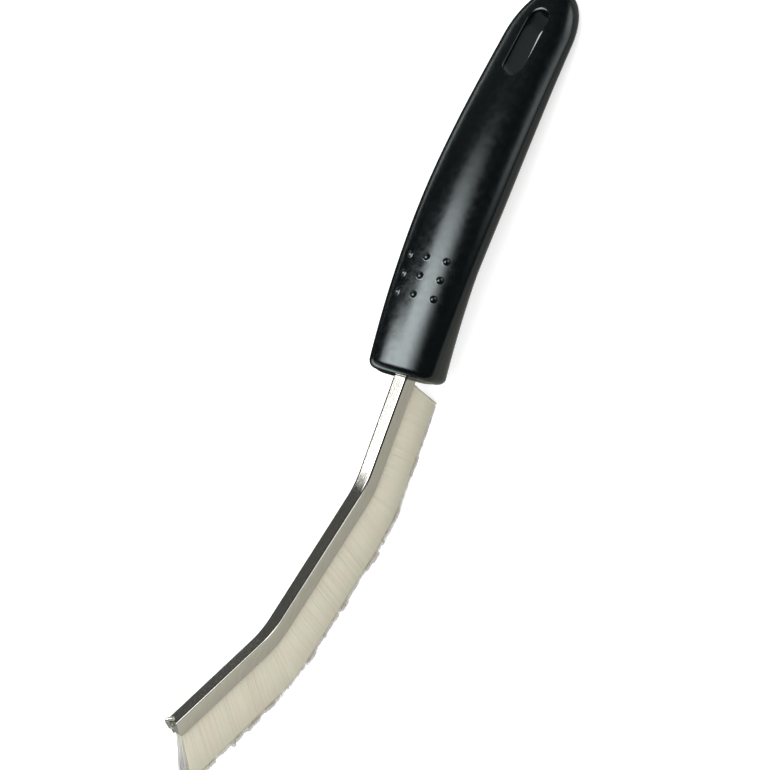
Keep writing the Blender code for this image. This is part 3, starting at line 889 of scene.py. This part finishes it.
def handle_stations():
    """Places and insets of the rings, close together at the rim, the nubs and the hang end."""
    stations = []
    for step in range(FACE_STEPS):
        share = 1 - step / FACE_STEPS
        inset = FRONT_ROUNDING + (FRONT_FACE_INSET - FRONT_ROUNDING) * share
        stations.append((FRONT_DOME * (1 - share) ** FRONT_DOME_CURVE, inset))
    for step in range(RIM_STEPS + 1):
        angle = math.radians(90) * step / RIM_STEPS
        along = FRONT_DOME + FRONT_ROUNDING * (1 - math.cos(angle))
        stations.append((along, FRONT_ROUNDING * (1 - math.sin(angle))))
    limits = (
        FRONT_ROUNDING + FRONT_DOME,
        NUB_FIRST_ROW - NUB_MARGIN,
        NUB_FIRST_ROW + (NUB_ROWS - 1) * NUB_ROW_PITCH + NUB_MARGIN,
        HANDLE_LENGTH - HANG_END_ROUNDING,
    )
    for start, end, count in zip(limits, limits[1:], BODY_STEPS):
        stations += [(start + (end - start) * i / count, 0.0) for i in range(1, count + 1)]
    for step in range(1, HANG_END_STEPS + 1):
        angle = HANG_END_SWEEP * step / HANG_END_STEPS
        stations.append((limits[-1] + HANG_END_ROUNDING * math.sin(angle), 0.0))
    return stations


def slot_outline(offset):
    """Round-ended outline of the slot as (along, sideways)."""
    radius = SLOT_HALF_WIDTH + offset
    across = SLOT_HALF_WIDTH + offset * SLOT_SIDE_FLARE
    outline = []
    for centre, start in ((SLOT_REAR - SLOT_HALF_WIDTH, -90), (SLOT_FRONT + SLOT_HALF_WIDTH, 90)):
        for i in range(SLOT_ARC_STEPS + 1):
            angle = math.radians(start + 180 * i / SLOT_ARC_STEPS)
            outline.append((centre + radius * math.cos(angle), across * math.sin(angle)))
    dense = []
    for (a, b), (c, d) in zip(outline, outline[1:] + outline[:1]):
        pieces = max(1, round(math.hypot(c - a, d - b) / SLOT_POINT_GAP))
        dense += [(a + (c - a) * i / pieces, b + (d - b) * i / pieces) for i in range(pieces)]
    return dense


def slot_cutter(material):
    """Closed form of the slot with softly rounded rims."""
    levels = []
    for step in range(SLOT_RIM_STEPS + 1):
        angle = math.radians(SLOT_RIM_START + (90 - SLOT_RIM_START) * step / SLOT_RIM_STEPS)
        levels.append((SLOT_FLARE * (1 - math.sin(angle)), SLOT_FLARE * (math.cos(angle) - 1)))
    levels.insert(0, (levels[0][0] + SLOT_OVERRUN[0], SLOT_OVERRUN[1]))
    vertices, rings = [], 0
    for side, order in ((1, levels), (-1, levels[::-1])):
        for offset, over in order:
            for along, sideways in slot_outline(offset):
                height = side * (skin_height(along, sideways) + over)
                vertices.append(handle_point(along, sideways, height))
            rings += 1
    size = len(vertices) // rings
    cutter = new_piece("slot_cutter", vertices, ring_faces(rings, size), material)
    outward(cutter)
    return cutter


def box_cutter(name, low, high, material):
    """Box between two corners of the strip's frame."""
    corners = [(x, y, z) for x in (low[0], high[0]) for y in (low[1], high[1])
               for z in (low[2], high[2])]
    faces = [(0, 1, 3, 2), (4, 6, 7, 5), (0, 4, 5, 1), (2, 3, 7, 6), (0, 2, 6, 4), (1, 5, 7, 3)]
    cutter = new_piece(name, corners, faces, material)
    outward(cutter)
    return cutter


class SmoothSource:
    """A mesh whose smooth normals are handed on to a cut copy of it."""

    def __init__(self, mesh, sign):
        mesh.calc_loop_triangles()
        self.normals = [vertex.normal.copy() for vertex in mesh.vertices]
        self.points = [vertex.co.copy() for vertex in mesh.vertices]
        self.triangles = [tuple(t.vertices) for t in mesh.loop_triangles]
        self.tree = BVHTree.FromPolygons(self.points, self.triangles)
        self.sign = sign

    def normal(self, point):
        """Smooth normal at the nearest point, and its distance."""
        place, _, index, distance = self.tree.find_nearest(point)
        a, b, c = (self.points[k] for k in self.triangles[index])
        na, nb, nc = (self.normals[k] for k in self.triangles[index])
        full = (b - a).cross(c - a).length
        if full < 1e-16:
            return self.sign * na, distance
        wa = (b - place).cross(c - place).length / full
        wb = (c - place).cross(a - place).length / full
        return (self.sign * (na * wa + nb * wb + nc * (1 - wa - wb))).normalized(), distance


def keep_smooth(piece, sources):
    """Give every face corner the smooth normal of the surface that its face lies on."""
    mesh = piece.data
    mesh.shade_smooth()
    normals = [None] * len(mesh.loops)
    for face in mesh.polygons:
        middle = face.center
        best = min(sources, key=lambda source: source.tree.find_nearest(middle)[3])
        for loop in face.loop_indices:
            normal, distance = best.normal(mesh.vertices[mesh.loops[loop].vertex_index].co)
            if distance > NORMAL_TOLERANCE or normal.dot(face.normal) < NORMAL_AGREEMENT:
                normal = face.normal
            normals[loop] = normal
    mesh.normals_split_custom_set(normals)


def make_handle(material):
    """Fine handle with its slot, socket and nubs."""
    stations = handle_stations()
    vertices = [point for station in stations for point in handle_ring(*station)]
    faces = ring_faces(len(stations), HANDLE_SIDES)
    handle = new_piece("handle_fine", vertices, faces, material)
    outward(handle)
    cutter = slot_cutter(material)
    half = CHANNEL_WIDTH / 2 + SOCKET_GAP
    bottom = -(CHANNEL_HEIGHT + SOCKET_GAP)
    low, high = (-CUTTER_REACH, -half, bottom), (TANG_LENGTH + CLEARANCE, half, SOCKET_GAP)
    socket = box_cutter("socket_cutter", low, high, material)
    low, high = (-CUTTER_REACH, -half, bottom - MOUTH_RELIEF), (MOUTH_DEPTH, half, SOCKET_GAP)
    mouth = box_cutter("mouth_cutter", low, high, material)
    sources = (SmoothSource(handle.data, 1.0), SmoothSource(cutter.data, -1.0))
    for tool in (cutter, mouth, socket):
        modifier = handle.modifiers.new(tool.name, "BOOLEAN")
        modifier.operation = "DIFFERENCE"
        modifier.solver = "EXACT"
        modifier.object = tool
    bpy.context.view_layer.update()
    shown = handle.evaluated_get(bpy.context.evaluated_depsgraph_get())
    mesh = bpy.data.meshes.new_from_object(shown)
    handle.modifiers.clear()
    handle.data = mesh
    keep_smooth(handle, sources)
    for tool in (cutter, mouth, socket):
        bpy.data.objects.remove(tool, do_unlink=True)
    return handle


# Stage

def mirrored_floor(nodes):
    """Floor as mirrored rays see it: painted shade dimming it towards the brush, painted shadow
    under the handle, low and cool behind the brush, and painted pools of light before and past the
    handle.
    """
    place = nodes.add("ShaderNodeNewGeometry")
    x, y, _ = nodes.add("ShaderNodeSeparateXYZ", Vector=place.outputs["Position"]).outputs
    # Painted shadow under the handle: cuts the glow down and cools it
    beside = nodes.ramp(nodes.math("ABSOLUTE", y), 0.005, 0.013, 1.0, 0.0)
    painted_shadow = nodes.times(nodes.ramp(x, -0.005, 0.015), beside)
    # Painted shade: the glow dims towards the brush on the near side and falls low behind it
    near = nodes.times(
        nodes.ramp(y, -0.09, 0.0, 0.62, 0.47),
        nodes.ramp(y, 0.0, 0.02, 1.0, 0.08),
        nodes.math("MULTIPLY_ADD", painted_shadow, -0.40, 1.0),
    )
    # Painted pools of light on the floor, seen only by mirrored rays: before the handle and past
    # its hang end
    painted_light_before_handle = nodes.times(
        nodes.ramp(x, -0.05, -0.025, 2.65, 0.0),
        nodes.ramp(y, 0.012, 0.040),
        nodes.ramp(x, -0.35, -0.15, 0.12, 1.0),
    )
    slant = nodes.math("DIVIDE", x, nodes.math("MAXIMUM", y, 0.01))
    painted_light_past_hang_end = nodes.times(
        nodes.ramp(y, 0.10, 0.30, 0.0, 1.9),
        nodes.ramp(slant, 1.1, 1.8, 1.0, 0.6),
        nodes.ramp(x, 0.135, 0.155),
    )
    level = nodes.math("ADD", nodes.math("ADD", near, painted_light_before_handle), painted_light_past_hang_end)
    # Cool tint of the painted shadow under the handle and of the floor behind the brush
    painted_shade_share = nodes.math("MAXIMUM", painted_shadow, nodes.ramp(y, 0.0, 0.02))
    tint = nodes.mix(painted_shade_share, MIRRORED_WARM, MIRRORED_PAINTED_SHADE)
    return nodes.add("ShaderNodeEmission", Color=tint, Strength=level)


def make_floor():
    """Large pale floor that keeps the brush's shadow and glows a little for the camera."""
    bpy.ops.mesh.primitive_plane_add(size=FLOOR_SIZE, location=(0.0, 0.0, 0.0))
    floor = bpy.context.object
    floor.name = "floor"
    material = bpy.data.materials.new("pale_floor")
    material.use_nodes = True
    nodes = Nodes(material.node_tree)
    path = nodes.add("ShaderNodeLightPath")
    diffuse = nodes.add("ShaderNodeBsdfDiffuse", Color=FLOOR_COLOUR)
    seen_level = nodes.times(path.outputs["Is Camera Ray"], FLOOR_GLOW)
    glow = nodes.add("ShaderNodeEmission", Color=WHITE, Strength=seen_level)
    seen = nodes.add("ShaderNodeAddShader", i0=diffuse.outputs[0], i1=glow.outputs[0])
    mirrored = mirrored_floor(nodes)
    both = nodes.add("ShaderNodeMixShader", i0=path.outputs["Is Glossy Ray"],
                     i1=seen.outputs[0], i2=mirrored.outputs[0])
    output = nodes.add("ShaderNodeOutputMaterial")
    nodes.tree.links.new(both.outputs[0], output.inputs[0])
    floor.data.materials.append(material)


def soft_box(nodes, x, y, z):
    """Soft box overhead, wide over the tip and narrowing to a band over the handle."""
    height = nodes.math("MAXIMUM", z, 0.02)
    across = nodes.math("DIVIDE", x, height)
    away = nodes.math("DIVIDE", y, height)
    limit = nodes.math("MULTIPLY_ADD", nodes.math("MAXIMUM", across, 0.0), -8.5, 2.2)
    limit = nodes.math("MAXIMUM", limit, 0.95)
    broad = nodes.times(
        nodes.ramp(away, -0.28, 0.42),
        nodes.ramp(away, 0.8, limit, 1.0, 0.0),
        nodes.ramp(across, 0.0, 0.10, 1.0, 0.0),
        nodes.ramp(across, -0.65, -0.2),
    )
    past = nodes.math("MAXIMUM", nodes.math("SUBTRACT", across, 0.2), 0.0)
    from_lower = nodes.math("SUBTRACT", away, nodes.times(past, 0.75))
    from_upper = nodes.math("SUBTRACT", away, nodes.times(past, 0.2))
    fade = nodes.math("EXPONENT", nodes.times(nodes.math("SUBTRACT", across, 0.13), -3.6))
    narrow = nodes.times(
        nodes.ramp(from_lower, -0.14, 0.30),
        nodes.ramp(from_upper, 0.54, 0.756, 1.0, 0.0),
        nodes.math("MINIMUM", fade, 1.0),
        nodes.ramp(across, -0.4, -0.2),
        nodes.ramp(across, 0.42, 0.68, 1.0, 0.0),
    )
    above = nodes.ramp(z, 0.02, 0.10)
    return nodes.times(nodes.math("MAXIMUM", broad, narrow), above)


def side_strip(nodes, x, y, z):
    """Upright strip of light on the camera's side."""
    side = nodes.math("DIVIDE", x, nodes.math("MAXIMUM", nodes.times(y, -1.0), 0.05))
    shape = nodes.math("ADD", nodes.ramp(side, 0.12, 0.75), nodes.ramp(side, 1.1, 1.7, 0.0, 0.5))
    return nodes.times(shape, nodes.between(z, 0.22, 0.60, 0.12), nodes.ramp(y, -0.15, -0.35))


def horizon_glow(nodes, x, y, z):
    """Glow near the horizon on the far side."""
    slant = nodes.math("DIVIDE", x, nodes.math("MAXIMUM", y, 0.05))
    return nodes.times(
        nodes.ramp(slant, 0.2, 0.4),
        nodes.ramp(slant, 0.6, 1.0, 0.5, 0.14),
        nodes.ramp(z, 0.02, 0.12, 1.0, 0.0),
    )


def mirrored_world(nodes):
    """Level of the studio for mirrored rays, by their direction in the strip's frame."""
    place = nodes.add("ShaderNodeTexCoord")
    turned = nodes.add("ShaderNodeVectorRotate", Vector=place.outputs["Generated"],
                       Angle=-REST_TILT)
    turned.rotation_type = "Y_AXIS"
    x, y, z = nodes.add("ShaderNodeSeparateXYZ", Vector=turned.outputs[0]).outputs
    tip_side = nodes.times(
        nodes.ramp(x, -0.2, -0.5),
        nodes.ramp(z, 0.10, 0.36, 1.0, 0.0),
        nodes.ramp(y, 0.1, 0.4),
    )
    hang_side = nodes.times(nodes.ramp(x, 0.2, 0.6), nodes.ramp(y, 0.0, 0.4))
    level = nodes.math("MULTIPLY_ADD", soft_box(nodes, x, y, z), BOX_LEVEL, DARK_LEVEL)
    level = nodes.math("MULTIPLY_ADD", side_strip(nodes, x, y, z), STRIP_LEVEL, level)
    level = nodes.math("ADD", horizon_glow(nodes, x, y, z), level)
    level = nodes.math("MULTIPLY_ADD", tip_side, TIP_SIDE_LEVEL, level)
    return nodes.math("MULTIPLY_ADD", hang_side, HANG_SIDE_LEVEL, level)


def make_world():
    """Even studio light, with boxes and strips of light for mirrored rays alone."""
    world = bpy.data.worlds.new("studio")
    bpy.context.scene.world = world
    world.use_nodes = True
    nodes = Nodes(world.node_tree)
    path = nodes.add("ShaderNodeLightPath")
    glossy, seen = path.outputs["Is Glossy Ray"], path.outputs["Is Camera Ray"]
    mirrored = nodes.times(glossy, mirrored_world(nodes))
    plain = nodes.math("MULTIPLY_ADD", seen, 1.0 - WORLD_FILL, WORLD_FILL)
    strength = nodes.math("MULTIPLY_ADD", nodes.math("SUBTRACT", 1.0, glossy), plain, mirrored)
    background = nodes.add("ShaderNodeBackground", Color=WHITE, Strength=strength)
    output = nodes.add("ShaderNodeOutputWorld")
    nodes.tree.links.new(background.outputs[0], output.inputs[0])


def make_key():
    """One soft key lamp from above and in front."""
    light = bpy.data.lights.new("key", "AREA")
    light.shape = "RECTANGLE"
    light.size = KEY_SIZE
    light.size_y = KEY_SIZE
    light.energy = KEY_POWER
    key = bpy.data.objects.new("key", light)
    bpy.context.scene.collection.objects.link(key)
    key.location = KEY_PLACE
    aim = -Vector(KEY_PLACE)
    key.rotation_euler = aim.to_track_quat("-Z", "Y").to_euler()
    key.visible_glossy = False
    key.visible_camera = False


def make_camera():
    """Camera at the photograph's place, angle and lens."""
    turn = Matrix((CAMERA_RIGHT, CAMERA_DOWN, CAMERA_AHEAD)).transposed()
    turn = turn @ Matrix.Diagonal((1.0, -1.0, -1.0))
    data = bpy.data.cameras.new("camera")
    data.lens = FOCAL_PIXELS / FRAME_PIXELS * SENSOR_MM
    data.sensor_width = SENSOR_MM
    data.clip_start = 0.01
    camera = bpy.data.objects.new("camera", data)
    bpy.context.scene.collection.objects.link(camera)
    camera.matrix_world = REST @ Matrix.Translation(CAMERA_PLACE) @ turn.to_4x4()
    bpy.context.scene.camera = camera


def dress(piece, slot, *nodes):
    """Let a piece ride on the part and stand for its nodes; its slot is not used."""
    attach(piece, "root")
    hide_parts(*nodes)


def main():
    """Build the pieces and the studio."""
    bpy.context.scene.view_settings.view_transform = "Standard"
    make_camera()
    make_world()
    make_floor()
    make_key()
    steel = steel_material("bright_steel", *CHANNEL_FINISH)
    wire_steel = steel_material("wire_steel", *WIRE_FINISH)
    nylon = bristle_material("pale_nylon", NYLON_PALE, NYLON_WARM)
    # Cut ends and loose filaments, paler in part as painted light
    painted_light_ends = bristle_material("nylon_ends_painted_light", CUT_END_PAINTED_PALE, CUT_END_PAINTED_DULL)
    dress(make_handle(handle_material()), "handle_plastic", "handle")
    dress(make_channel(steel), "channel_steel", "channel")
    dress(make_wire(wire_steel), "wire_steel", "core_wire")
    for name, piece in make_bristles(nylon, painted_light_ends).items():
        dress(piece, "bristle_nylon", "bristles_" + name)


main()
